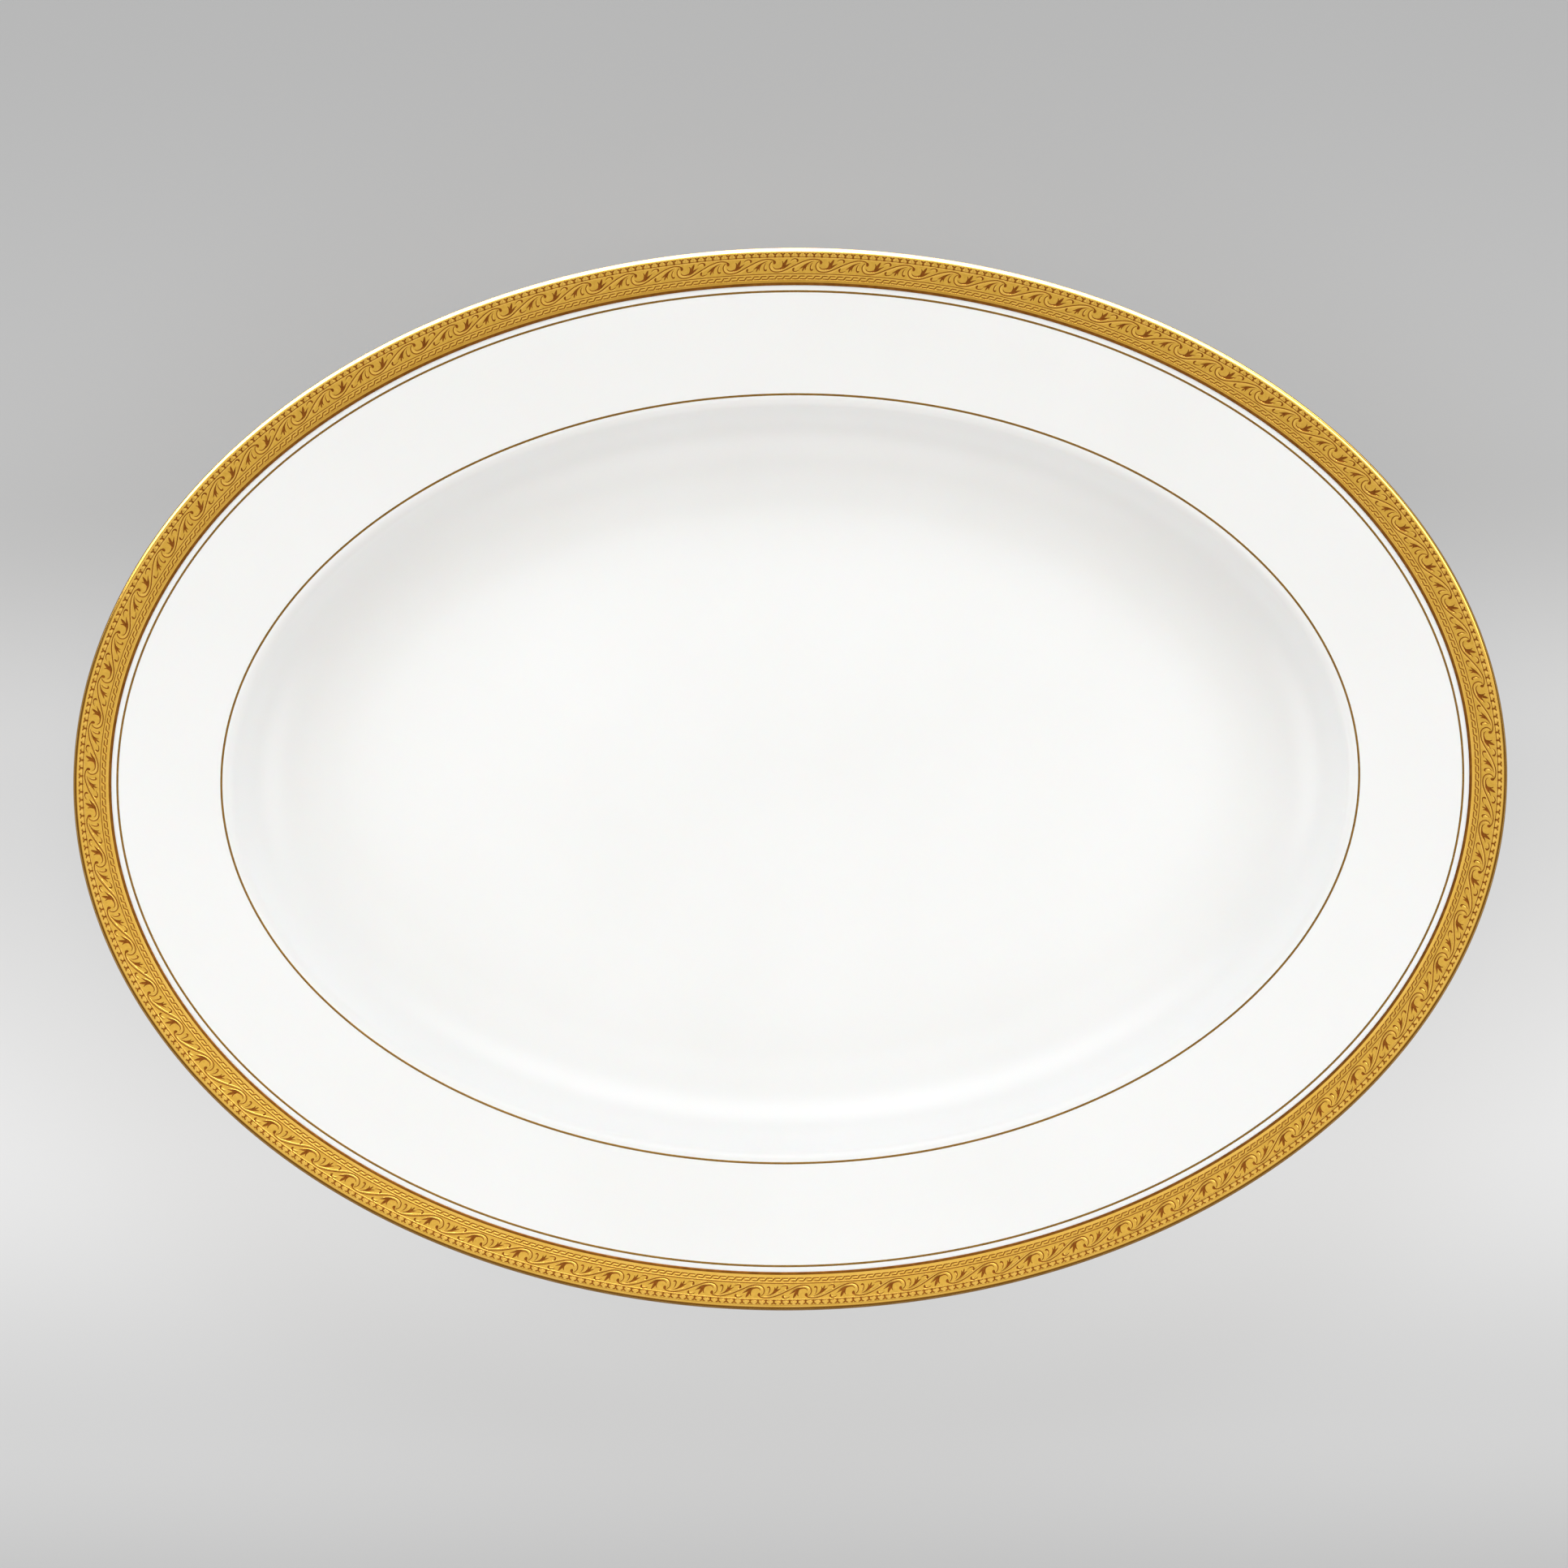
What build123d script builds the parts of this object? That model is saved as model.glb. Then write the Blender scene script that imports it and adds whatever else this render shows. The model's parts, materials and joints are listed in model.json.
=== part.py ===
from build123d import *
from math import asin, cos, degrees, radians, tan
import os

os.makedirs("parts", exist_ok=True)

# An oval serving platter of bone china with an etched gold border. Millimetres, +Z up.
# It lies on its foot: Z = 0 is the table, the long axis is along X, and the origin is
# the centre of the oval. Each cross-section is drawn once, at the +X end, and swept
# along the outer oval, so the rim is the same width all the way round.

# ---- overall size ----
LENGTH = 406.0            # 16 inches over the long axis
WIDTH = 302.0
HEIGHT = 34.0             # where the slope of the rim would meet the outer edge

# ---- insets: distances in from the outer edge, square to it ----
LIP_INSET = 1.60          # the polished lip ends and the darts begin
DART_INSET = 3.00         # the darts end and the scrolling leaves begin
SCROLL_INSET = 7.40       # the leaves end and the key pattern begins
KEY_INSET = 9.20          # the key pattern ends and the plain inner border begins
BAND_INSET = 10.75        # the gold band ends
HAIRLINE_INSET = 12.10
VERGE_LINE_INSET = 41.00
LINE_WIDTH = 0.60         # both fine gold lines
VERGE_INSET = 41.60       # the rim turns down into the well
DISC_INSET = 85.00        # the swept ring stops here, in the flat floor
FOOT_OUTER_INSET = 70.20
FOOT_INNER_INSET = 73.80

# ---- china section ----
RIM_SLOPE = 10.0          # degrees, rising outward
WALL_SLOPE = 58.0         # degrees, where the wall of the well is steepest
VERGE_RADIUS = 5.0        # round-over from the rim to the wall
FLOOR_TOP = 8.5
FLOOR_UNDER = 3.8
LIP_THICKNESS = 2.9
LIP_ROUND = 1.35
WALL_THICKNESS = 4.5
UNDER_VERGE_RADIUS = 9.0  # hollow under the verge, where the rim leaves the wall
FOOT_ROUND = 1.1
FOOT_HOLLOW = 1.5         # where the foot ring meets the underside
FOOT_GRIND = 0.3          # ground off the foot ring, so that it stands flat

# ---- gold ----
GOLD = 0.20               # height of the gilding over the china
SEAM = 0.005              # hair of clearance under each strip and between strips


def rim_height(inset):
    """Height of the china's upper side, anywhere on the sloping rim."""
    return HEIGHT - GOLD - (inset - GOLD) * tan(radians(RIM_SLOPE))


def at(inset, height):
    """Point of a section, from its inset and its height above the table."""
    return (LENGTH / 2 - inset, height)


# Path of every sweep: the outer oval, which starts at the +X end.
outer_oval = Edge.make_ellipse(x_radius=LENGTH / 2, y_radius=WIDTH / 2)


# ---- section of the china, from the lip inward over the top and back underneath ----
with BuildSketch(Plane.XZ) as china_section:
    with BuildLine():
        lip = at(GOLD, rim_height(GOLD))
        rim_top = Line(lip, at(VERGE_INSET, rim_height(VERGE_INSET)))
        verge = JernArc(rim_top @ 1, rim_top % 1, VERGE_RADIUS, WALL_SLOPE - RIM_SLOPE)
        drop = (verge @ 1).Y - FLOOR_TOP
        wall_radius = drop / (1 - cos(radians(WALL_SLOPE)))
        wall = JernArc(verge @ 1, verge % 1, wall_radius, -WALL_SLOPE)
        wall_centre = (wall @ 1) + (0, wall_radius)
        floor = Line(wall @ 1, at(DISC_INSET, FLOOR_TOP))

        # Underneath: floor, foot ring, outside of the wall, back of the rim.
        outside_radius = wall_radius + WALL_THICKNESS
        foot_reach = LENGTH / 2 - FOOT_OUTER_INSET - wall_centre.X
        foot_angle = degrees(asin(foot_reach / outside_radius))
        outside = CenterArc(
            wall_centre,
            outside_radius,
            start_angle=270 + foot_angle,
            arc_size=WALL_SLOPE - foot_angle,
        )
        Polyline(
            floor @ 1,
            at(DISC_INSET, FLOOR_UNDER),
            at(FOOT_INNER_INSET, FLOOR_UNDER),
            at(FOOT_INNER_INSET, -FOOT_GRIND),
            at(FOOT_OUTER_INSET, -FOOT_GRIND),
            outside @ 0,
        )
        lip_under = at(GOLD, rim_height(GOLD) - LIP_THICKNESS)
        Polyline(outside @ 1, lip_under, lip)
    make_face()

    for corner, radius in (
        (lip, LIP_ROUND),
        (lip_under, LIP_ROUND),
        (outside @ 1, UNDER_VERGE_RADIUS),
        (outside @ 0, FOOT_HOLLOW),
        (at(FOOT_OUTER_INSET, -FOOT_GRIND), FOOT_ROUND),
        (at(FOOT_INNER_INSET, -FOOT_GRIND), FOOT_ROUND),
        (at(FOOT_INNER_INSET, FLOOR_UNDER), FOOT_HOLLOW),
    ):
        vertex = china_section.vertices().sort_by_distance(corner)[0]
        fillet(vertex, radius=radius)


# ---- china body: the swept ring, a disc that closes the floor inside it, a flat foot ----
with BuildPart() as china_body:
    add(china_section.sketch)
    sweep(path=outer_oval)
    closed_edges = china_body.edges().filter_by(lambda edge: edge.is_closed)
    disc_edges = closed_edges.sort_by(SortBy.LENGTH)[:2]
    disc_face = Face(Wire(disc_edges.sort_by(Axis.Z)[0]))
    extrude(disc_face, amount=FLOOR_TOP - FLOOR_UNDER, dir=(0, 0, 1))
    split(bisect_by=Plane.XY)
china_body.part.label = "china_body"
export_step(china_body.part, "parts/china_body.step")


# ---- polished gold lip: a skin wrapped over the edge of the china ----
with BuildPart() as lip_gilding:
    with BuildSketch(Plane.XZ):
        add(china_section.sketch_local)
        offset(amount=GOLD)
        offset(china_section.sketch_local, amount=SEAM, mode=Mode.SUBTRACT)
        with Locations(at(LIP_INSET, HEIGHT)):
            Rectangle(
                2 * LIP_INSET,
                2 * HEIGHT,
                align=(Align.MIN, Align.CENTER),
                mode=Mode.INTERSECT,
            )
    sweep(path=outer_oval)
lip_gilding.part.label = "lip_gilding"
export_step(lip_gilding.part, "parts/lip_gilding.step")


# ---- gold that lies flat on the rim, one closed strip for each row of the pattern ----
def gold_strip(name, outer_inset, inner_inset):
    """Lay a strip of gold on the rim between two insets and export it."""
    rise = GOLD / cos(radians(RIM_SLOPE))
    outer = outer_inset + SEAM
    with BuildPart() as strip:
        with BuildSketch(Plane.XZ):
            with BuildLine():
                Polyline(
                    at(outer, rim_height(outer) + SEAM),
                    at(outer, rim_height(outer) + rise),
                    at(inner_inset, rim_height(inner_inset) + rise),
                    at(inner_inset, rim_height(inner_inset) + SEAM),
                    close=True,
                )
            make_face()
        sweep(path=outer_oval)
    strip.part.label = name
    export_step(strip.part, f"parts/{name}.step")
    return strip.part


dart_border = gold_strip("dart_border", LIP_INSET, DART_INSET)
scroll_border = gold_strip("scroll_border", DART_INSET, SCROLL_INSET)
key_border = gold_strip("key_border", SCROLL_INSET, KEY_INSET)
inner_border = gold_strip("inner_border", KEY_INSET, BAND_INSET)
hairline = gold_strip("hairline", HAIRLINE_INSET, HAIRLINE_INSET + LINE_WIDTH)
verge_line = gold_strip("verge_line", VERGE_LINE_INSET, VERGE_LINE_INSET + LINE_WIDTH)
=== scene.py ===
import json
from math import asin, cos, degrees, pi, radians, sin, sqrt, tan

import bmesh
import bpy
import numpy as np
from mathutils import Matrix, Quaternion, Vector
from mathutils.geometry import delaunay_2d_cdt

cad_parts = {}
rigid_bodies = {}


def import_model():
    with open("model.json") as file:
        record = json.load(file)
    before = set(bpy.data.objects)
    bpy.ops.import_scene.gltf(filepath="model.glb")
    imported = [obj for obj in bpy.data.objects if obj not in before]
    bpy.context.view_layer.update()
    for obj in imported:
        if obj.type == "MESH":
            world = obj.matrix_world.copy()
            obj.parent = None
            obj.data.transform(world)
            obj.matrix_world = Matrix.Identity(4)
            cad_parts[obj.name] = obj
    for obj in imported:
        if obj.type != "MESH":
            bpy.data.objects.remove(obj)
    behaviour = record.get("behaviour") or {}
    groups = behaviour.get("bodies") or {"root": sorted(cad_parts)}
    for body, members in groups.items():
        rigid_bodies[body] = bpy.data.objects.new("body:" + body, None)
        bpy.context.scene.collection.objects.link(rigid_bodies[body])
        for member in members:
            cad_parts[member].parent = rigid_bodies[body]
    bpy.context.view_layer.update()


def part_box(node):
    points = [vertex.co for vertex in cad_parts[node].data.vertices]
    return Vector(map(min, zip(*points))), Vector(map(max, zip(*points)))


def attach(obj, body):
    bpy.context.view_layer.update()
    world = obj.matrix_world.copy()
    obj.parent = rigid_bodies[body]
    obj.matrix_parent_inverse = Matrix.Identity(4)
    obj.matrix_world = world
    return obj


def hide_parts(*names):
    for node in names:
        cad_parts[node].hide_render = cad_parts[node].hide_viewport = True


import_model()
MM = 0.001


# ==== the outer oval, and places on it ====
# A place on the platter is a distance along the gold band, an inset from the outer edge,
# and a height. Insets are square to the edge, as they are in the CAD model.

LIP_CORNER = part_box("lip_gilding")[1]
HALF_LENGTH = LIP_CORNER.x
HALF_WIDTH = round(LIP_CORNER.y, 4)
RIM_SLOPE = 10.0                   # degrees, rising outward
RIM_ANGLE = radians(RIM_SLOPE)
GILDING = 0.2 * MM                 # height of the gold over the china
BAND_MIDDLE = 5.5 * MM             # inset where the pattern keeps its true length
FLOOR_EDGE = 85 * MM               # inset past which the oval shrinks towards its centre


def inset_of(node):
    """Inset of the outer side of a CAD strip."""
    return HALF_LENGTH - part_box(node)[1].x


def gold_height(inset):
    """Height of the upper face of the gilding, on the slope of the rim."""
    strip = "dart_border"
    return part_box(strip)[1].z - (inset - inset_of(strip)) * tan(RIM_ANGLE)


def china_height(inset):
    """Height of the china under the gilding, on the slope of the rim."""
    return gold_height(inset) - GILDING / cos(RIM_ANGLE)


def oval_points(angles, insets):
    """x and y of places on the oval; inside the floor the oval shrinks towards its centre."""
    c, s = np.cos(angles), np.sin(angles)
    out_x, out_y = HALF_WIDTH * c, HALF_LENGTH * s
    size = np.hypot(out_x, out_y)
    kept = np.minimum(insets, FLOOR_EDGE)
    shrink = 1 - np.maximum(insets - FLOOR_EDGE, 0) / (HALF_WIDTH - FLOOR_EDGE)
    x = (HALF_LENGTH * c - kept * out_x / size) * shrink
    y = (HALF_WIDTH * s - kept * out_y / size) * shrink
    return x, y


OVAL_ANGLES = np.linspace(0, 2 * pi, 40001)
middle_x, middle_y = oval_points(OVAL_ANGLES, BAND_MIDDLE)
OVAL_TRAVEL = np.concatenate([[0], np.cumsum(np.hypot(np.diff(middle_x), np.diff(middle_y)))])
GIRTH = OVAL_TRAVEL[-1]


def angle_at(along):
    """Angle of the oval at a distance along the band, measured from +X towards +Y."""
    return np.interp(np.asarray(along) % GIRTH, OVAL_TRAVEL, OVAL_ANGLES)


def on_rim(along, insets, relief):
    """Points on the gilded rim, raised or sunk square to its slope."""
    x, y = oval_points(angle_at(along), insets + relief * sin(RIM_ANGLE))
    z = gold_height(insets) + relief * cos(RIM_ANGLE)
    return np.column_stack([x, y, z])


# ==== materials ====

def new_material(name):
    """An empty node material with a Principled shader; returns its tree and shader."""
    material = bpy.data.materials.new(name)
    material.use_nodes = True
    tree = material.node_tree
    return material, tree, tree.nodes["Principled BSDF"]


def noise(tree, scale, detail=3.0, roughness=0.55):
    """A noise texture in object space, with its scale in features per metre."""
    place = tree.nodes.new("ShaderNodeTexCoord")
    texture = tree.nodes.new("ShaderNodeTexNoise")
    texture.inputs["Scale"].default_value = scale
    texture.inputs["Detail"].default_value = detail
    texture.inputs["Roughness"].default_value = roughness
    tree.links.new(place.outputs["Object"], texture.inputs["Vector"])
    return texture.outputs["Fac"]


def coordinate(tree, axis):
    """One coordinate, X, Y or Z, of a place in object space."""
    place = tree.nodes.new("ShaderNodeTexCoord")
    split = tree.nodes.new("ShaderNodeSeparateXYZ")
    tree.links.new(place.outputs["Object"], split.inputs["Vector"])
    return split.outputs[axis]


def ramp(tree, value, stops, interpolation="LINEAR"):
    """Colour through two or more stops of a value; a stop is (position, tone)."""
    node = tree.nodes.new("ShaderNodeValToRGB")
    node.color_ramp.interpolation = interpolation
    elements = node.color_ramp.elements
    elements[0].position, elements[1].position = stops[0][0], stops[-1][0]
    for position, _ in stops[1:-1]:
        elements.new(position)
    for element, (_, tone) in zip(elements, stops):
        element.color = (*tone, 1)
    tree.links.new(value, node.inputs["Fac"])
    return node.outputs["Color"]


def grain_ramp(tree, grain, low, high):
    """Colour from one tone to another through the middle of a noise's range."""
    return ramp(tree, grain, ((0.35, low), (0.65, high)))


def remap(tree, value, source=(0, 1), target=(0, 1), smooth=False):
    """A value carried from one range to another, and kept inside it."""
    node = tree.nodes.new("ShaderNodeMapRange")
    if smooth:
        node.interpolation_type = "SMOOTHSTEP"
    node.inputs["From Min"].default_value, node.inputs["From Max"].default_value = source
    node.inputs["To Min"].default_value, node.inputs["To Max"].default_value = target
    tree.links.new(value, node.inputs["Value"])
    return node.outputs["Result"]


def mixed(tree, factor, first, second):
    """Blend of two colours, or of two values, by a factor."""
    node = tree.nodes.new("ShaderNodeMix")
    if first.type == "RGBA":
        node.data_type = "RGBA"
    sockets = [socket for socket in node.inputs if socket.enabled]
    for source, target in zip((factor, first, second), sockets):
        tree.links.new(source, target)
    return next(socket for socket in node.outputs if socket.enabled)


def bump(tree, shader, value, height):
    """Fine surface relief, with its height in metres."""
    node = tree.nodes.new("ShaderNodeBump")
    node.inputs["Strength"].default_value = 1.0
    node.inputs["Distance"].default_value = height
    tree.links.new(value, node.inputs["Height"])
    tree.links.new(node.outputs["Normal"], shader.inputs["Normal"])


def glazed_china():
    """White bone china: clear gloss glaze over a warm body, with a bare ground foot."""
    material, tree, shader = new_material("glazed_china")
    glaze_starts, bare_ends = 0.45 * MM, 0.25 * MM       # heights above the table
    bare = remap(tree, coordinate(tree, "Z"), source=(glaze_starts, bare_ends))
    body = grain_ramp(tree, noise(tree, 14.0), (0.800, 0.800, 0.790), (0.815, 0.815, 0.808))
    bisque = grain_ramp(tree, noise(tree, 900.0, 5.0), (0.56, 0.53, 0.47), (0.72, 0.69, 0.62))
    colour = mixed(tree, bare, body, bisque)
    tree.links.new(colour, shader.inputs["Base Color"])
    gloss = remap(tree, noise(tree, 60.0), target=(0.15, 0.22))
    dull = remap(tree, noise(tree, 900.0), target=(0.65, 0.85))
    roughness = mixed(tree, bare, gloss, dull)
    tree.links.new(roughness, shader.inputs["Roughness"])
    shader.inputs["IOR"].default_value = 1.5
    shader.inputs["Subsurface Weight"].default_value = 0.08
    shader.inputs["Subsurface Scale"].default_value = 2.0 * MM
    bump(tree, shader, noise(tree, 45.0, 2.0), 0.02 * MM)
    return material


def gold(name, tones, grain, dullness, pitting):
    """A gold finish: two tones in a fine grain, a range of dullness and tiny pits (metres)."""
    material, tree, shader = new_material(name)
    colour = grain_ramp(tree, noise(tree, grain), *tones)
    roughness = remap(tree, noise(tree, 2.5 * grain), target=dullness)
    tree.links.new(colour, shader.inputs["Base Color"])
    tree.links.new(roughness, shader.inputs["Roughness"])
    shader.inputs["Metallic"].default_value = 1.0
    bump(tree, shader, noise(tree, 4.0 * grain, 2.0), pitting)
    return material


CHINA = glazed_china()
POLISHED = gold(
    "polished_gold", ((0.88, 0.54, 0.10), (0.93, 0.59, 0.13)), 200.0, (0.12, 0.20), 0.003 * MM
)
SATIN = gold(
    "satin_gold", ((0.71, 0.43, 0.070), (0.80, 0.495, 0.088)), 900.0, (0.30, 0.40), 0.004 * MM
)
ETCHED = gold(
    "etched_gold", ((0.20, 0.064, 0.010), (0.29, 0.10, 0.016)), 1500.0, (0.45, 0.60), 0.006 * MM
)
# a brown gold that paints the dim reflection along the inner edge of the band
INNER_EDGE_REFLECTION_GOLD = gold(
    "inner_edge_reflection_gold", ((0.20, 0.072, 0.010), (0.28, 0.110, 0.017)), 600.0, (0.25, 0.35), 0.004 * MM
)
FINE_GOLD = gold(
    "fine_line_gold", ((0.27, 0.145, 0.029), (0.34, 0.190, 0.041)), 500.0, (0.20, 0.30), 0.003 * MM
)
# a darker gold that paints the dim reflection along the outermost edge of the lip
EDGE_REFLECTION_GOLD = gold(
    "edge_reflection_gold", ((0.33, 0.175, 0.050), (0.41, 0.225, 0.070)), 400.0, (0.18, 0.26), 0.003 * MM
)


# ==== pieces swept round the oval from one section ====
# A section is a list of (inset, height) points. It runs outward over the top, then back
# underneath. A slope of 0 degrees faces straight up, 90 faces inward, and -90 outward.

CHINA_STEPS = 400                  # sections round the oval
GOLD_STEPS = 720


def turn(centre, radius, start, end, count):
    """Points of an arc in a section, between two slopes; a hollow arc has a negative radius."""
    slopes = np.radians(np.linspace(start, end, count))
    return [(centre[0] + radius * sin(t), centre[1] + radius * cos(t)) for t in slopes]


def run(start, end, count):
    """Evenly spaced points of a straight run in a section, without either end."""
    return [tuple(p) for p in np.linspace(start, end, count + 2)[1:-1]]


def blend(start, corner, end, count):
    """Points of a smooth bend that leaves a start and an end towards their shared corner."""
    ways = np.linspace(0, 1, count)[:, None]
    start, corner, end = map(np.array, (start, corner, end))
    bend = (1 - ways) ** 2 * start + 2 * ways * (1 - ways) * corner + ways**2 * end
    return [tuple(p) for p in bend]


def add_piece(name, points, faces, materials, nodes):
    """A smooth mesh piece that rides on the platter and stands for some CAD nodes."""
    mesh = bpy.data.meshes.new(name)
    mesh.from_pydata(points, [], faces)
    for material in materials:
        mesh.materials.append(material)
    mesh.polygons.foreach_set("use_smooth", [True] * len(mesh.polygons))
    mesh.update()
    piece = bpy.data.objects.new(name, mesh)
    bpy.context.scene.collection.objects.link(piece)
    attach(piece, "root")
    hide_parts(*nodes)
    return piece


def join_points(piece, within):
    """Join points of a piece that lie closer together than this."""
    shape = bmesh.new()
    shape.from_mesh(piece.data)
    bmesh.ops.remove_doubles(shape, verts=shape.verts, dist=within)
    shape.to_mesh(piece.data)
    shape.free()


def swept_piece(name, section, steps, material, node, closed=True):
    """Carry a section once round the oval."""
    angles = angle_at(np.arange(steps) * GIRTH / steps)
    insets, heights = np.array(section).T
    x, y = oval_points(angles[:, None], insets[None, :])
    z = np.broadcast_to(heights, x.shape)
    points = np.stack([x, y, z], axis=-1).reshape(-1, 3)
    count = len(section)
    faces = []
    for step in range(steps):
        here, there = step * count, (step + 1) % steps * count
        for i in range(count if closed else count - 1):
            j = (i + 1) % count
            faces.append((here + j, there + j, there + i, here + i))
    return add_piece(name, points.tolist(), faces, [material], [node])


def finish_strips(piece, section, material, chosen):
    """Give another finish to those strips of a swept piece whose middle insets pass a test."""
    insets = np.array(section)[:, 0]
    middles = (insets + np.roll(insets, -1)) / 2
    piece.data.materials.append(material)
    rounds = len(piece.data.polygons) // len(section)
    second = np.tile(chosen(middles), rounds).astype(int)
    piece.data.polygons.foreach_set("material_index", second)


# The lip is two rounds, one over the other, set in from the edge by their radius.
LIP_RADIUS = 1.35 * MM             # of the china; the gilding lies outside it
LIP_THICKNESS = 2.9 * MM
UNDER_SLOPE = 13.0                 # degrees, the back of the rim
lip_inset = GILDING + LIP_RADIUS
lip_upper = (lip_inset, china_height(lip_inset) - LIP_RADIUS / cos(RIM_ANGLE))
lip_lower = (
    lip_inset,
    china_height(GILDING)
    - LIP_THICKNESS
    - LIP_RADIUS * tan(radians(UNDER_SLOPE))
    + LIP_RADIUS / cos(radians(UNDER_SLOPE)),
)


def china_section():
    """The china from the middle of the floor out over the rim, and back underneath."""
    wall_slope, wall_thickness = 58.0, 4.5 * MM
    steep = np.array([sin(radians(wall_slope)), cos(radians(wall_slope))])
    floor_top, floor_under = 8.5 * MM, 3.8 * MM
    middle = HALF_WIDTH

    # Over the top: floor, curved wall, verge, rim and lip.
    verge_inset, verge_radius = 41.6 * MM, 5.0 * MM
    rim_normal = np.array([sin(RIM_ANGLE), cos(RIM_ANGLE)])
    verge = np.array([verge_inset, china_height(verge_inset)]) - verge_radius * rim_normal
    wall_start = verge + verge_radius * steep
    wall_radius = (wall_start[1] - floor_top) / (1 - steep[1])
    wall = wall_start + wall_radius * steep
    upper = [(middle, floor_top)]
    upper += run((middle, floor_top), (wall[0], floor_top), 30)
    upper += turn(wall, -wall_radius, 0, wall_slope, 34)[:-1]
    upper += turn(verge, verge_radius, wall_slope, RIM_SLOPE, 10)
    lip = turn(lip_upper, LIP_RADIUS, RIM_SLOPE, -90, 10)
    lip += turn(lip_lower, LIP_RADIUS, -90, UNDER_SLOPE - 180, 10)
    upper += run(upper[-1], lip[0], 16) + lip

    # Underneath: back of the rim, outside of the wall, foot ring and floor.
    hollow_share, hollow_turn = 0.16, 9       # of the rim's back, and degrees of the wall
    foot_turn = 8                             # degrees, where the wall bends down to the foot
    outside_radius = wall_radius + wall_thickness
    corner = wall - outside_radius * steep
    before = corner + hollow_share * (np.array(lip[-1]) - corner)
    outside = turn(wall, -outside_radius, wall_slope - hollow_turn, foot_turn, 24)
    under = run(lip[-1], before, 14) + blend(before, corner, outside[0], 12) + outside[1:]
    foot_outer, foot_inner = 70.2 * MM, 73.8 * MM
    foot_round, foot_hollow, foot_grind = 1.1 * MM, 1.5 * MM, 0.3 * MM
    ground = np.degrees(np.arccos((foot_round - foot_grind) / foot_round))
    round_height = foot_round - foot_grind
    bend_corner = (foot_outer, floor_under + 0.5 * MM)
    bend_end = (foot_outer, floor_under - 1.1 * MM)
    under += blend(under[-1], bend_corner, bend_end, 8)[1:]
    under += turn((foot_outer + foot_round, round_height), foot_round, -90, ground - 180, 6)
    under += turn((foot_inner - foot_round, round_height), foot_round, 180 - ground, 90, 6)
    hollow = (foot_inner + foot_hollow, floor_under - foot_hollow)
    under += turn(hollow, -foot_hollow, 90, 180, 8)
    under += run((hollow[0], floor_under), (middle, floor_under), 30)
    return upper + under + [(middle, floor_under)]


china = swept_piece(
    "china", china_section(), CHINA_STEPS, CHINA, "china_body", closed=False
)
join_points(china, 0.001 * MM)     # they meet in the middle of the floor


# ---- polished lip: it wraps the edge from the darts round to the back of the rim ----
EDGE_REFLECTION_WIDTH = 0.42 * MM             # of the outermost edge, where a darker gold paints a dim reflection of the surroundings
lip_radius = LIP_RADIUS + GILDING
lip_start = degrees(asin((inset_of("dart_border") - lip_inset) / lip_radius))
lip_section = turn(lip_upper, lip_radius, lip_start, lip_start - 1, 2)[:1]
lip_section += turn(lip_upper, lip_radius, lip_start - 1, -90, 16)
lip_section += turn(lip_lower, lip_radius, -90, UNDER_SLOPE - 180, 16)
lip_section += turn(lip_lower, LIP_RADIUS, UNDER_SLOPE - 180, -90, 8)
lip_section += turn(lip_upper, LIP_RADIUS, -90, lip_start, 8)
lip = swept_piece("gold_lip", lip_section, GOLD_STEPS, POLISHED, "lip_gilding")
# the outermost edge of the lip gets its painted dim reflection
finish_strips(lip, lip_section, EDGE_REFLECTION_GOLD, lambda inset: inset < EDGE_REFLECTION_WIDTH)


# ---- plain gold inside the key pattern, rounded down to the china ----
REFLECTION_EDGE_START = inset_of("inner_border") + 0.85 * MM       # a painted dim reflection from here to the inner edge


def plain_border():
    """Section of the inner border: nearly flat, with a slight swell and a rounded inner edge."""
    outer = inset_of("inner_border")
    width = 1.55 * MM
    swell = 0.03 * MM
    rounded = 0.05                 # share of the width that falls away to the china
    section = [(outer + width, china_height(outer + width))]
    ways = (1 - rounded * np.linspace(0, 1, 8)[1:] ** 2).tolist()
    ways += [0.7, 0.5, 0.3, 0.15, 0.02, 0]
    for way in ways:
        inset = outer + way * width
        fall = max(0.0, (way - 1 + rounded) / rounded)
        rise = gold_height(inset) - china_height(inset) + swell * sin(pi * way)
        section.append((inset, china_height(inset) + rise * sqrt(1 - fall**2)))
    return section + [(outer, china_height(outer))]


inner_border = swept_piece(
    "gold_inner_border", plain_border(), GOLD_STEPS, POLISHED, "inner_border"
)
# the inner edge of the band gets its painted dim reflection
finish_strips(inner_border, plain_border(), INNER_EDGE_REFLECTION_GOLD, lambda inset: inset > REFLECTION_EDGE_START)


# ---- fine lines: low beads of gold on the white rim ----
def fine_line(name, node):
    """A bead of gold, as wide as its CAD strip."""
    outer, width, height = inset_of(node), 0.6 * MM, 0.04 * MM
    section = []
    for way in np.linspace(1, 0, 9):
        inset = outer + way * width
        section.append((inset, china_height(inset) + height * sqrt(1 - (2 * way - 1) ** 2)))
    swept_piece(name, section, GOLD_STEPS, FINE_GOLD, node)


fine_line("gold_hairline", "hairline")
fine_line("gold_verge_line", "verge_line")


# ==== etched rows: relief cut into a flat sheet of gold, then laid round the rim ====
# A stroke is a list of (along, inset, half width) in millimetres. Grooves are etched
# into the sheet and ridges stand up from it.

MOTIFS = 82                        # scrolls round the platter
UNITS_PER_MOTIF = 6                # darts, and keys, under each scroll
UNITS = MOTIFS * UNITS_PER_MOTIF
MOTIF_PITCH = GIRTH / MM / MOTIFS
UNIT_PITCH = MOTIF_PITCH / UNITS_PER_MOTIF

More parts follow.
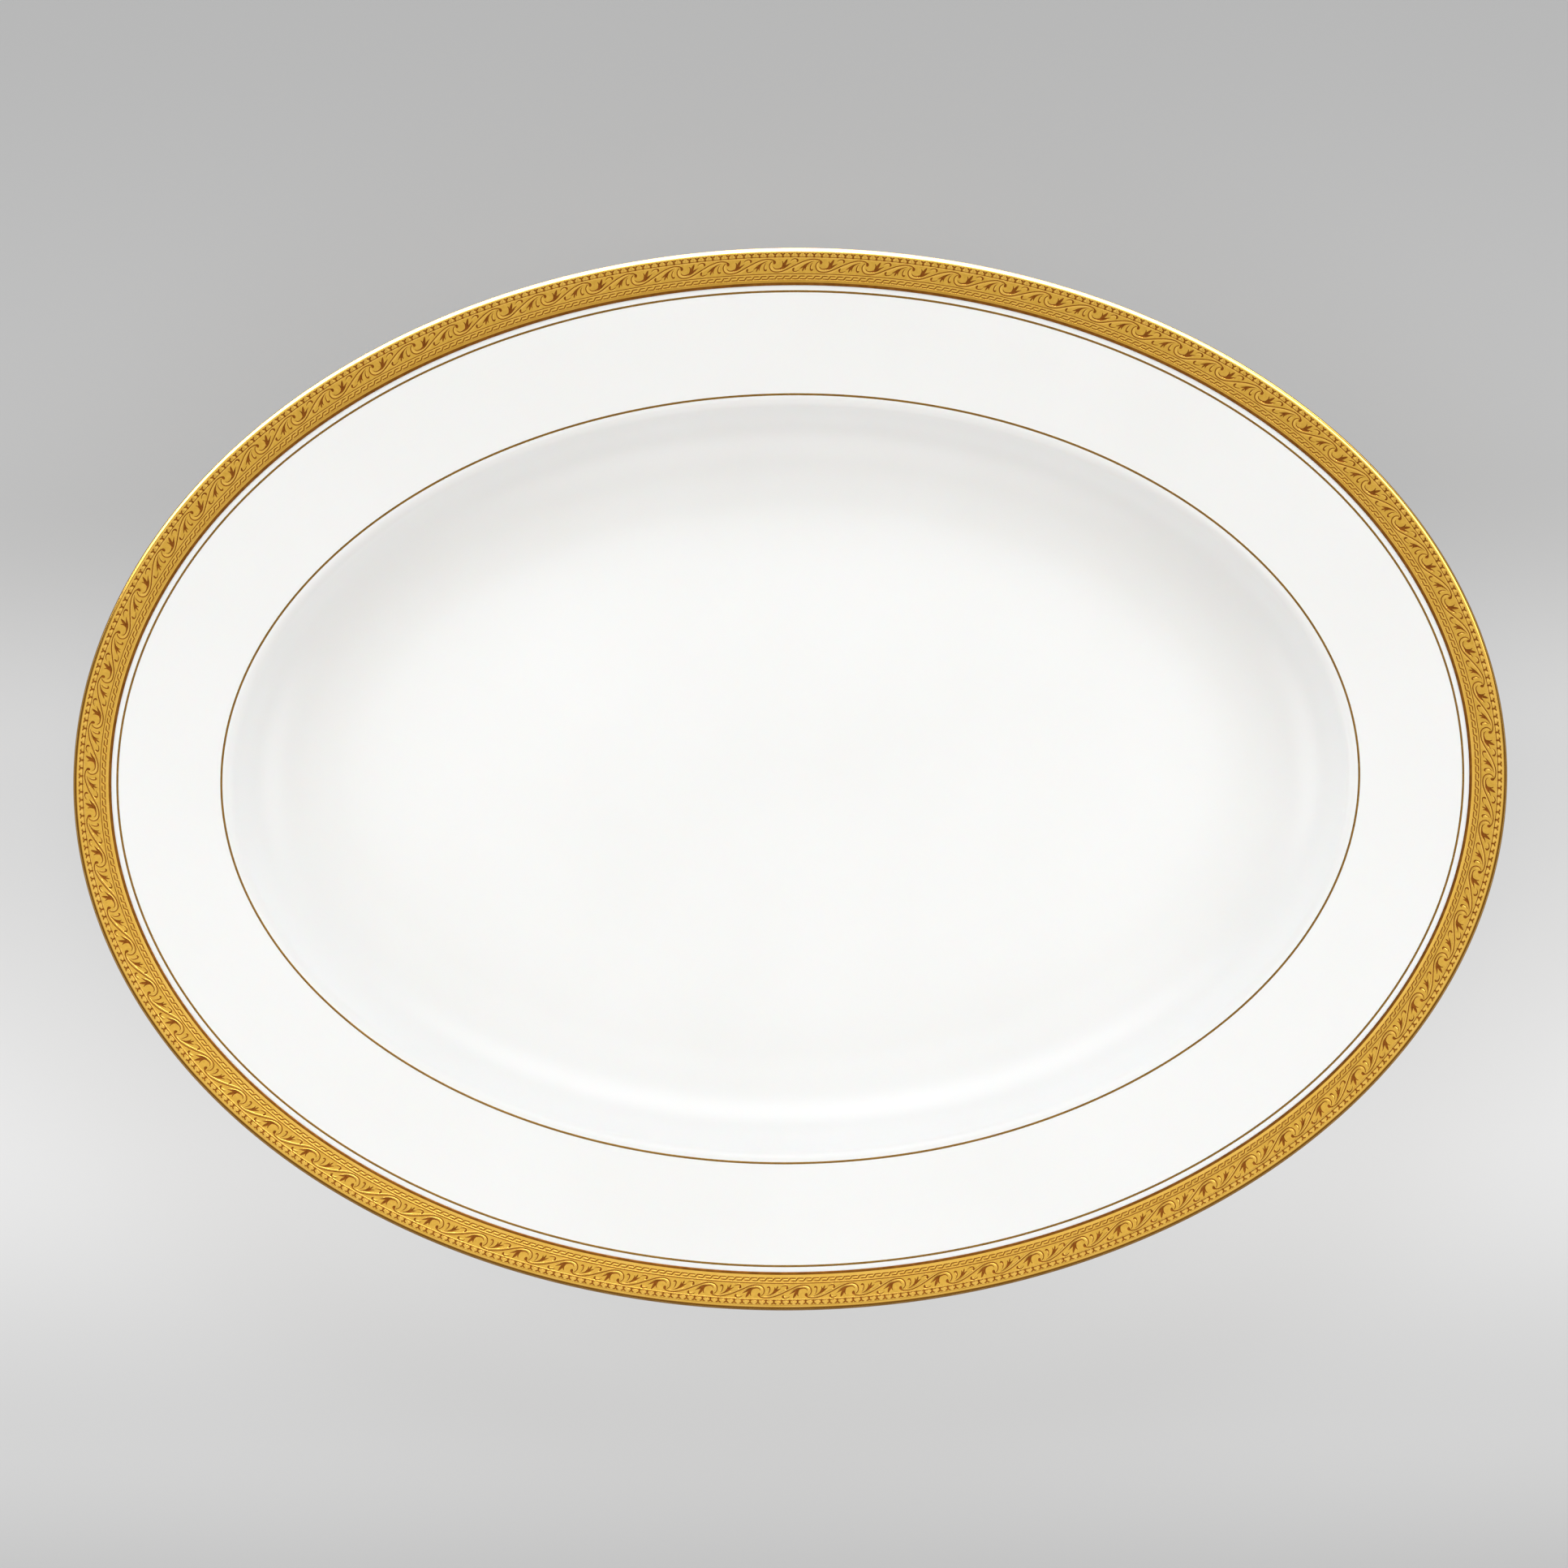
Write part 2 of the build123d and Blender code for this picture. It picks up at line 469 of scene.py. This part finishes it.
# Kinds of stroke: the depth or height of its relief, the lines of mesh along it, its finish.
RELIEF = {"groove": 0.04, "dart": 0.02, "ridge": 0.055, "dome": 0.05}
LINES = {"groove": 5, "dart": 3, "ridge": 5, "dome": 5}
FINISHES = [SATIN, ETCHED, POLISHED]
SUNK, RAISED = 1, 2                # places in FINISHES; 0 is the field between the strokes
FINISH = {"groove": SUNK, "dart": SUNK, "ridge": RAISED, "dome": RAISED}
STEEPEST = 0.24                    # relief of a stroke over its half width, at most
THINNEST = 0.01                    # half width of a stroke, at least
POINTED = 0.06                     # half width up to which a stroke's end isn't rounded
MARGIN = 0.5                       # strokes are laid this far past the ends of a cell


def smooth_stroke(points, spacing):
    """Even points along the smooth curve through a stroke's points."""
    control = np.array(points, float)
    padded = np.vstack([2 * control[0] - control[1], control, 2 * control[-1] - control[-2]])
    curve = []
    for a, b, c, d in zip(padded, padded[1:], padded[2:], padded[3:]):
        count = max(2, int(np.hypot(*(c - b)[:2]) / spacing + 0.5))
        for t in np.linspace(0, 1, count, endpoint=False):
            curve.append(
                0.5 * (2 * b + (c - a) * t + (2 * a - 5 * b + 4 * c - d) * t**2
                       + (3 * b - a - 3 * c + d) * t**3)
            )
    curve.append(control[-1])
    curve = np.array(curve)
    curve[:, 2] = np.maximum(curve[:, 2], THINNEST)
    return curve


def nearness(stroke, places):
    """0 on a stroke's middle line, 1 at its edge and more outside; and its half width there."""
    start, end = stroke[:-1], stroke[1:]
    way = end[:, :2] - start[:, :2]
    from_start = places[:, None, :] - start[None, :, :2]
    t = np.clip((from_start * way).sum(-1) / (way**2).sum(-1), 0, 1)
    off = np.linalg.norm(from_start - t[..., None] * way, axis=-1)
    half = start[:, 2] + t * (end[:, 2] - start[:, 2])
    share = off / half
    nearest = share.argmin(axis=1)
    each = np.arange(len(places))
    return share[each, nearest], half[each, nearest]


def relief_cell(pitch, inset_from, inset_to, strokes, rules, spacing, grid):
    """Triangles of one repeat of a row: points (along, inset, relief), faces, and their finishes.

    A rule is (kind, inset, half width): a line that runs straight on through every cell.
    The spacing is between points along a stroke, and the grid is of the field around them.
    """
    places, edges, laid = [], [], []

    def add_line(points):
        first = len(places)
        places.extend(Vector(p[:2]) for p in points)
        edges.extend((first + i, first + i + 1) for i in range(len(points) - 1))

    across = int((inset_to - inset_from) / grid + 0.5)
    along = int(pitch / grid + 0.5)
    for k, inset in enumerate(np.linspace(inset_from, inset_to, across + 1)):
        row = [(u, inset) for u in np.linspace(0, pitch, along + 1)]
        if k in (0, across):
            add_line(row)
        else:
            places.extend(Vector(p) for p in row[1:-1])
    for end in (0, pitch):
        add_line([(end, inset) for inset in np.linspace(inset_from, inset_to, across + 1)])

    def lay(kind, stroke):
        laid.append((kind, stroke))
        way = np.gradient(stroke[:, :2], axis=0)
        side = np.column_stack([-way[:, 1], way[:, 0]])
        side /= np.linalg.norm(side, axis=1)[:, None]
        for part in np.linspace(-1, 1, LINES[kind]):
            add_line(stroke[:, :2] + part * stroke[:, 2:] * side)
        for end, outward in ((0, -1), (-1, 1)):
            ahead = outward * way[end] / np.linalg.norm(way[end])
            turns = np.linspace(-1, 1, 5)[:, None] * pi / 2
            arc = np.cos(turns) * ahead + np.sin(turns) * side[end]
            if stroke[end, 2] > POINTED:
                add_line(stroke[end, :2] + stroke[end, 2] * arc)

    for kind, points in strokes:
        stroke = smooth_stroke(points, spacing)
        for shift in (-2, -1, 0, 1):
            moved = stroke + (shift * pitch, 0, 0)
            if moved[:, 0].max() > -MARGIN and moved[:, 0].min() < pitch + MARGIN:
                lay(kind, moved)
    for kind, inset, half_width in rules:
        stations = np.linspace(-MARGIN, pitch + MARGIN, int(pitch / grid) + 2)
        lay(kind, np.array([(station, inset, half_width) for station in stations]))

    points, _, faces, *_ = delaunay_2d_cdt(places, edges, [], 0, 1e-4, False)
    flat = np.array([tuple(p) for p in points])
    faces = np.array([tuple(f) for f in faces])
    middles = flat[faces].mean(axis=1)
    inside = (
        (middles[:, 0] > 0) & (middles[:, 0] < pitch)
        & (middles[:, 1] > inset_from) & (middles[:, 1] < inset_to)
    )
    faces, middles = faces[inside], middles[inside]

    # Ridges first, and then the grooves, which cut through them.
    relief = np.zeros(len(flat))
    finish = np.zeros(len(faces), int)
    for kind, stroke in sorted(laid, key=lambda item: FINISH[item[0]] == SUNK):
        near, half = nearness(stroke, flat)
        swell = np.clip(1 - near**2, 0, None) * np.minimum(RELIEF[kind], STEEPEST * half)
        if FINISH[kind] == RAISED:
            relief = np.maximum(relief, swell)
        else:
            inner = near < 0.999               # its edge stays level with the field
            relief[inner] = np.minimum(relief, -swell)[inner]
        finish[nearness(stroke, middles)[0] < 1] = FINISH[kind]
    relief[faces[finish == 0]] = 0         # the field between the strokes stays flat
    used, faces = np.unique(faces, return_inverse=True)
    faces = faces.reshape(-1, 3)
    return np.column_stack([flat[used], relief[used]]), faces, finish


def lay_row(name, cell, pitch, first, count, node):
    """Repeat a cell along the band, as one piece; the field between the strokes is flat."""
    points, faces, finish = cell
    repeats = np.arange(first, first + count)
    along = (repeats[:, None] * pitch + points[None, :, 0]) * MM
    insets = np.broadcast_to(points[:, 1] * MM, along.shape)
    relief = np.broadcast_to(points[:, 2] * MM, along.shape)
    placed = on_rim(along.ravel(), insets.ravel(), relief.ravel())
    all_faces = (faces[None] + np.arange(count)[:, None, None] * len(points)).reshape(-1, 3)
    piece = add_piece(
        name, placed.tolist(), all_faces.tolist(), FINISHES, [node]
    )
    piece.data.polygons.foreach_set("material_index", np.tile(finish, count))
    in_field = np.abs(points[faces][:, :, 2]).max(axis=1) < 1e-6
    piece.data.polygons.foreach_set("use_smooth", np.tile(~in_field, count))
    join_points(piece, 0.002 * MM)


# ---- outer row: half-domes standing on a line, with dark darts between them ----
DART_STROKES = [
    ("dart", [(0.0, 2.10, 0.12), (0.0, 2.38, 0.20), (0.0, 2.76, 0.30)]),
    ("dart", [(0.00, 2.24, 0.12), (-0.20, 2.03, 0.19), (-0.48, 1.88, 0.17), (-0.80, 1.85, 0.03)]),
    ("dart", [(0.00, 2.24, 0.12), (0.20, 2.03, 0.19), (0.48, 1.88, 0.17), (0.80, 1.85, 0.03)]),
    ("dome", [
        (UNIT_PITCH / 2, 2.06, 0.10), (UNIT_PITCH / 2, 2.20, 0.52), (UNIT_PITCH / 2, 2.42, 0.66),
        (UNIT_PITCH / 2, 2.68, 0.40),
    ]),
]
DART_RULES = [("groove", 2.82, 0.10)]

# ---- middle row: a running stem that turns back into an eye, with leaves and curls ----
SCROLL_STROKES = [
    ("groove", [  # the stem's outer side, from one eye over and down to the next
        (9.21, 3.90, 0.17), (9.55, 3.65, 0.15), (10.23, 3.48, 0.14), (11.08, 3.42, 0.14),
        (11.93, 3.51, 0.14), (12.96, 3.77, 0.14), (14.15, 4.16, 0.14), (15.77, 4.88, 0.15),
        (17.48, 5.70, 0.15), (19.18, 6.49, 0.15), (20.46, 6.91, 0.15), (21.74, 7.01, 0.15),
        (22.76, 6.85, 0.15), (23.44, 6.35, 0.15), (23.72, 5.61, 0.15), (23.67, 5.00, 0.14),
        (23.36, 4.47, 0.12), (22.93, 4.12, 0.10),
    ]),
    ("groove", [  # eye
        (9.17, 4.80, 0.10), (9.12, 4.66, 0.30), (9.04, 4.42, 0.40), (9.04, 4.18, 0.38),
        (9.26, 3.90, 0.22),
    ]),
    ("groove", [  # upper leaf: spine, tip and spur
        (4.26, 4.56, 0.03), (5.11, 5.02, 0.19), (5.97, 5.54, 0.33), (6.82, 5.94, 0.33),
        (7.67, 6.15, 0.19), (8.53, 6.21, 0.14), (9.12, 6.00, 0.12), (9.43, 5.49, 0.05),
    ]),
    ("groove", [
        (6.79, 5.82, 0.34), (6.27, 5.00, 0.41), (5.83, 4.30, 0.34), (5.54, 3.77, 0.22),
        (5.34, 3.44, 0.05),
    ]),
    ("groove", [
        (6.89, 5.86, 0.21), (6.67, 5.09, 0.17), (6.62, 4.60, 0.15), (6.68, 4.25, 0.14),
        (6.87, 3.97, 0.05),
    ]),
    ("groove", [  # upper curl
        (2.66, 4.28, 0.07), (2.47, 3.90, 0.29), (2.57, 3.58, 0.24), (2.98, 3.35, 0.15),
        (3.50, 3.39, 0.12), (4.01, 3.62, 0.10), (4.47, 3.97, 0.03),
    ]),
    ("groove", [  # lower leaf: spine and two tips
        (10.83, 3.90, 0.03), (11.76, 4.18, 0.10), (12.53, 4.56, 0.17), (13.16, 4.98, 0.29),
        (13.84, 5.40, 0.26), (14.49, 5.79, 0.17), (15.14, 6.14, 0.05),
    ]),
    ("groove", [
        (13.04, 4.95, 0.22), (13.38, 5.47, 0.26), (13.50, 5.96, 0.19), (13.44, 6.54, 0.05),
    ]),
    ("groove", [
        (13.64, 5.44, 0.24), (13.98, 6.05, 0.21), (14.19, 6.45, 0.19), (14.36, 6.87, 0.05),
    ]),
    ("groove", [  # hook
        (11.36, 4.42, 0.03), (11.76, 4.88, 0.10), (12.00, 5.44, 0.14), (12.07, 5.96, 0.15),
        (11.97, 6.38, 0.21), (11.63, 6.52, 0.24), (11.22, 6.28, 0.05),
    ]),
    ("groove", [  # lower curl
        (3.46, 5.93, 0.10), (3.70, 6.28, 0.28), (3.77, 6.62, 0.22), (3.50, 6.89, 0.14),
        (2.90, 6.87, 0.12), (2.39, 6.70, 0.09), (1.84, 6.42, 0.03),
    ]),
    ("ridge", [  # the stem where it turns back
        (22.93, 4.49, 0.09), (23.22, 4.95, 0.19), (23.26, 5.54, 0.22), (22.98, 6.10, 0.24),
        (22.47, 6.45, 0.24), (21.74, 6.61, 0.24), (20.89, 6.56, 0.24), (20.03, 6.35, 0.22),
        (19.18, 5.93, 0.21), (18.33, 5.37, 0.15), (17.73, 4.88, 0.05),
    ]),
    ("ridge", [  # the long run of the stem
        (10.23, 3.83, 0.05), (11.25, 3.79, 0.14), (12.11, 3.93, 0.19), (12.96, 4.21, 0.22),
        (14.15, 4.61, 0.22), (15.77, 5.31, 0.22), (17.48, 6.14, 0.19), (18.93, 6.84, 0.15),
        (20.12, 7.20, 0.10), (21.06, 7.32, 0.05),
    ]),
    ("ridge", [  # beside the hook
        (11.39, 4.74, 0.05), (11.66, 5.23, 0.14), (11.80, 5.71, 0.15), (11.76, 6.14, 0.07),
    ]),
    ("ridge", [  # inside the upper curl
        (2.86, 4.00, 0.07), (3.00, 3.72, 0.14), (3.50, 3.76, 0.14), (4.01, 4.00, 0.09),
        (4.35, 4.25, 0.03),
    ]),
    ("ridge", [  # under the lower curl
        (2.05, 6.84, 0.03), (2.56, 7.08, 0.10), (3.24, 7.20, 0.10), (3.84, 7.13, 0.05),
    ]),
]
SCROLL_RULES = [("ridge", 3.15, 0.11)]

# ---- inner row: a running key between two levels, under a line ----
KEY_STROKES = [
    ("groove", [
        (0.51, 8.20, 0.12), (1.10, 8.20, 0.14), (1.67, 8.20, 0.14), (1.80, 8.27, 0.14),
        (2.32, 8.90, 0.14), (2.49, 8.99, 0.14), (3.20, 8.99, 0.14), (3.89, 8.99, 0.12),
    ]),
    ("ridge", [(2.59, 8.59, 0.08), (2.81, 8.59, 0.13), (3.61, 8.59, 0.13), (3.84, 8.59, 0.08)]),
]
KEY_RULES = [("groove", 7.57, 0.11), ("ridge", 7.83, 0.11)]


def row_insets(node, next_node):
    """Where a row starts and ends, in millimetres."""
    return inset_of(node) / MM, inset_of(next_node) / MM


dart_cell = relief_cell(
    UNIT_PITCH, *row_insets("dart_border", "scroll_border"), DART_STROKES, DART_RULES,
    spacing=0.14, grid=0.7,
)
scroll_cell = relief_cell(
    MOTIF_PITCH, *row_insets("scroll_border", "key_border"), SCROLL_STROKES, SCROLL_RULES,
    spacing=0.4, grid=0.9,
)
key_cell = relief_cell(
    UNIT_PITCH, *row_insets("key_border", "inner_border"), KEY_STROKES, KEY_RULES,
    spacing=0.3, grid=0.6,
)

rear = MOTIFS // 2
lay_row("gold_darts", dart_cell, UNIT_PITCH, 0, UNITS, "dart_border")
lay_row("gold_scrolls_rear", scroll_cell, MOTIF_PITCH, 0, rear, "scroll_border")
lay_row("gold_scrolls_front", scroll_cell, MOTIF_PITCH, rear, MOTIFS - rear, "scroll_border")
lay_row("gold_keys", key_cell, UNIT_PITCH, 0, UNITS, "key_border")


# ==== stage, light and camera ====

PAINTED_LIGHT_REACH = 0.25                  # the painted light on the floor changes this far either side of Y = 0
# painted light: greys of the floor along Y, lighter across the middle as a pool of light and
# darker towards the ends
PAINTED_LIGHT_GREYS = ((0, 0.52), (0.13, 0.66), (0.30, 0.83), (0.52, 0.70), (0.68, 0.53), (1, 0.47))
FADE_FROM, FADE_TO = 0.22, 0.60    # either side of X = 0, the painted light fades out to a plain grey
PLAIN_GREY = 0.50
PAINTED_GLOW_SHARE = 0.7                      # share of the floor's brightness that is a painted glow, standing for light through the paper; it weakens the platter's shadow
PAINTED_GLOW_STRENGTH = 0.92                  # strength of that painted glow, for a white paper


def floor_material():
    """Pale paper with painted light: a painted pool of light across the middle, and a painted
    glow, as if lit through, that weakens shadows; it can't be seen from below.
    """
    material, tree, shader = new_material("studio_floor")
    across = remap(tree, coordinate(tree, "Y"), source=(-PAINTED_LIGHT_REACH, PAINTED_LIGHT_REACH))
    # the greys along Y are a painted pool of light
    tone = ramp(tree, across, [(at, (grey,) * 3) for at, grey in PAINTED_LIGHT_GREYS], "EASE")
    aside = tree.nodes.new("ShaderNodeMath")
    aside.operation = "ABSOLUTE"
    tree.links.new(coordinate(tree, "X"), aside.inputs[0])
    fade = remap(tree, aside.outputs["Value"], source=(FADE_FROM, FADE_TO), smooth=True)
    plain = tree.nodes.new("ShaderNodeRGB")
    plain.outputs["Color"].default_value = (PLAIN_GREY, PLAIN_GREY, PLAIN_GREY, 1)
    paper_and_painted_light = mixed(tree, fade, tone, plain.outputs["Color"])
    shown = tree.nodes.new("ShaderNodeVectorMath")
    shown.operation = "SCALE"
    shown.inputs["Scale"].default_value = 1 - PAINTED_GLOW_SHARE
    tree.links.new(paper_and_painted_light, shown.inputs["Vector"])
    tree.links.new(shown.outputs["Vector"], shader.inputs["Base Color"])
    # the painted glow carries the same painted pool of light
    tree.links.new(paper_and_painted_light, shader.inputs["Emission Color"])
    shader.inputs["Emission Strength"].default_value = PAINTED_GLOW_STRENGTH * PAINTED_GLOW_SHARE
    shader.inputs["Roughness"].default_value = 0.9
    shader.inputs["Specular IOR Level"].default_value = 0.1
    side = tree.nodes.new("ShaderNodeNewGeometry")
    clear = tree.nodes.new("ShaderNodeBsdfTransparent")
    either = tree.nodes.new("ShaderNodeMixShader")
    tree.links.new(side.outputs["Backfacing"], either.inputs["Fac"])
    tree.links.new(shader.outputs["BSDF"], either.inputs[1])
    tree.links.new(clear.outputs["BSDF"], either.inputs[2])
    tree.links.new(either.outputs["Shader"], tree.nodes["Material Output"].inputs["Surface"])
    return material


bpy.ops.mesh.primitive_plane_add(size=8.0, location=(0, 0, 0))
floor = bpy.context.object
floor.name = "floor"
floor.data.materials.append(floor_material())


# Tones of the surroundings, from straight below (0), past the horizon (0.5), to overhead (1).
SKY_TONES = (
    (0, (0.60, 0.60, 0.60)),
    (0.45, (0.15, 0.09, 0.055)),
    (0.80, (0.17, 0.105, 0.065)),
    (0.91, (0.66, 0.60, 0.52)),
    (0.975, (0.98, 0.96, 0.92)),
    (0.99, (0.80, 0.76, 0.70)),
    (1, (0.50, 0.43, 0.31)),
)
SKY_LEAN = radians(5)              # their top leans this far towards -Y
PLAIN_SKY = (0.62, 0.62, 0.62, 1)


def studio_world():
    """Soft surroundings: bright overhead with a dim opening, warm and dim towards the horizon.

    Seen directly, past the floor, they are plain grey.
    """
    world = bpy.data.worlds.new("studio")
    bpy.context.scene.world = world
    world.use_nodes = True
    tree = world.node_tree
    place = tree.nodes.new("ShaderNodeTexCoord")
    towards = tree.nodes.new("ShaderNodeVectorMath")
    towards.operation = "DOT_PRODUCT"
    towards.inputs[1].default_value = (0, -sin(SKY_LEAN), cos(SKY_LEAN))
    tree.links.new(place.outputs["Generated"], towards.inputs[0])
    sky = ramp(tree, remap(tree, towards.outputs["Value"], source=(-1, 1)), SKY_TONES)
    tree.links.new(sky, tree.nodes["Background"].inputs["Color"])
    plain = tree.nodes.new("ShaderNodeBackground")
    plain.inputs["Color"].default_value = PLAIN_SKY
    seen = tree.nodes.new("ShaderNodeLightPath")
    either = tree.nodes.new("ShaderNodeMixShader")
    tree.links.new(seen.outputs["Is Camera Ray"], either.inputs["Fac"])
    tree.links.new(tree.nodes["Background"].outputs["Background"], either.inputs[1])
    tree.links.new(plain.outputs["Background"], either.inputs[2])
    tree.links.new(either.outputs["Shader"], tree.nodes["World Output"].inputs["Surface"])


SOFT_EDGE = 0.45                   # share of a softbox's side over which its light fades in


def softbox(name, place, aim, size, radiance, colour=(1, 1, 1), shades=True, shines=True, on=None):
    """A rectangular light that fades out towards its edges, and looks at a point.

    It can leave out either its shading of surfaces or its own reflection in them, and it
    can be kept to a group of pieces.
    """
    data = bpy.data.lights.new(name, "AREA")
    data.shape = "RECTANGLE"
    data.size, data.size_y = size
    data.energy = 4 * size[0] * size[1] * radiance       # watts, for that radiance of the face
    data.color = colour
    data.use_nodes = True
    tree = data.node_tree
    surface = tree.nodes.new("ShaderNodeNewGeometry")
    split = tree.nodes.new("ShaderNodeSeparateXYZ")
    tree.links.new(surface.outputs["Parametric"], split.inputs["Vector"])
    product = tree.nodes.new("ShaderNodeMath")
    product.operation = "MULTIPLY"
    for axis, factor in zip(("X", "Y"), product.inputs):
        from_edge = tree.nodes.new("ShaderNodeMath")
        from_edge.operation = "PINGPONG"       # 0 at both edges, 0.5 in the middle
        from_edge.inputs[1].default_value = 0.5
        tree.links.new(split.outputs[axis], from_edge.inputs[0])
        fade = remap(tree, from_edge.outputs["Value"], source=(0, SOFT_EDGE), smooth=True)
        tree.links.new(fade, factor)
    tree.links.new(product.outputs["Value"], tree.nodes["Emission"].inputs["Strength"])
    light = bpy.data.objects.new(name, data)
    light.location = place
    light.rotation_euler = (Vector(place) - Vector(aim)).to_track_quat("Z", "Y").to_euler()
    light.visible_camera = False
    light.visible_diffuse = shades
    light.visible_glossy = shines
    light.light_linking.receiver_collection = on
    bpy.context.scene.collection.objects.link(light)


def group(name, pieces):
    """Pieces that some lights are kept to."""
    collection = bpy.data.collections.new(name)
    for piece in pieces:
        collection.objects.link(piece)
    return collection


CENTRE = (0, 0, 0)
TENT_WHITE = (0.82, 0.885, 0.94)   # cool, to balance the warm surroundings
studio_world()
glazed_ware = group("glazed_ware", [china])
gilded_edge = group("gilded_edge", [lip])
gold_pieces = [piece for piece in bpy.data.objects if piece.name.startswith("gold_")]
gilding = group("gilding", gold_pieces)
gilded_band = group("gilded_band", [piece for piece in gold_pieces if piece != lip])

# Light that only shows as a reflection: on all the gold, on a part of it, or on the glaze.
softbox("rear_shine", (0.75, 1.45, 1.3), CENTRE, (3.8, 1.6), 6.0, shades=False, on=gilding)
for x, y in ((-1.5, 0), (1.5, 0), (0, -1.5)):
    softbox("band_shine", (x, y, 0.95), CENTRE, (2.8, 1.4), 0.9, shades=False, on=gilded_band)
softbox(
    "edge_shine", (-0.12, 0.42, 0.15), (-0.09, 0.15, 0.03), (1.2, 0.46), 24.0,
    shades=False, on=gilded_edge,
)
softbox(
    "low_shine", (-0.12, 0.36, 0.004), (-0.12, 0.36, 1), (1.2, 0.42), 24.0,
    shades=False, on=gilded_edge,
)
for x, y in ((0, 1.6), (-1.6, 0), (1.6, 0), (0, -1.6)):
    softbox("glaze_shine", (x, y, 0.9), CENTRE, (3.0, 1.4), 0.9, shades=False, on=glazed_ware)

# Light that only shades: a tent of four sides.
for x, y, radiance in ((0, 1.85, 4.7), (-1.85, 0, 3.65), (1.85, 0, 3.65), (0, -1.85, 2.1)):
    softbox("side_tent", (x, y, 1), CENTRE, (3.6, 1.6), radiance, TENT_WHITE, shines=False)

# The camera looks down almost square to the platter, from a little towards -Y.
CAMERA_ELEVATION = radians(85.0)
CAMERA_ROLL = radians(-0.8)
FRAME_WIDTH = 0.4434               # width of the view at the height of the rim
AIM = Vector((-0.0018, -0.0028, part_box("lip_gilding")[1].z))
camera_data = bpy.data.cameras.new("camera")
camera_data.lens = 120.0
camera_data.sensor_width = 36.0
camera = bpy.data.objects.new("camera", camera_data)
back = Vector((0, -cos(CAMERA_ELEVATION), sin(CAMERA_ELEVATION)))
distance = FRAME_WIDTH * camera_data.lens / camera_data.sensor_width
camera.location = AIM + back * distance
camera.rotation_mode = "QUATERNION"
camera.rotation_quaternion = Quaternion(back, CAMERA_ROLL) @ back.to_track_quat("Z", "Y")
camera_data.clip_start, camera_data.clip_end = 0.05, 30.0
bpy.context.scene.collection.objects.link(camera)
bpy.context.scene.camera = camera

bpy.context.scene.view_settings.view_transform = "Standard"
bpy.context.scene.view_settings.look = "None"
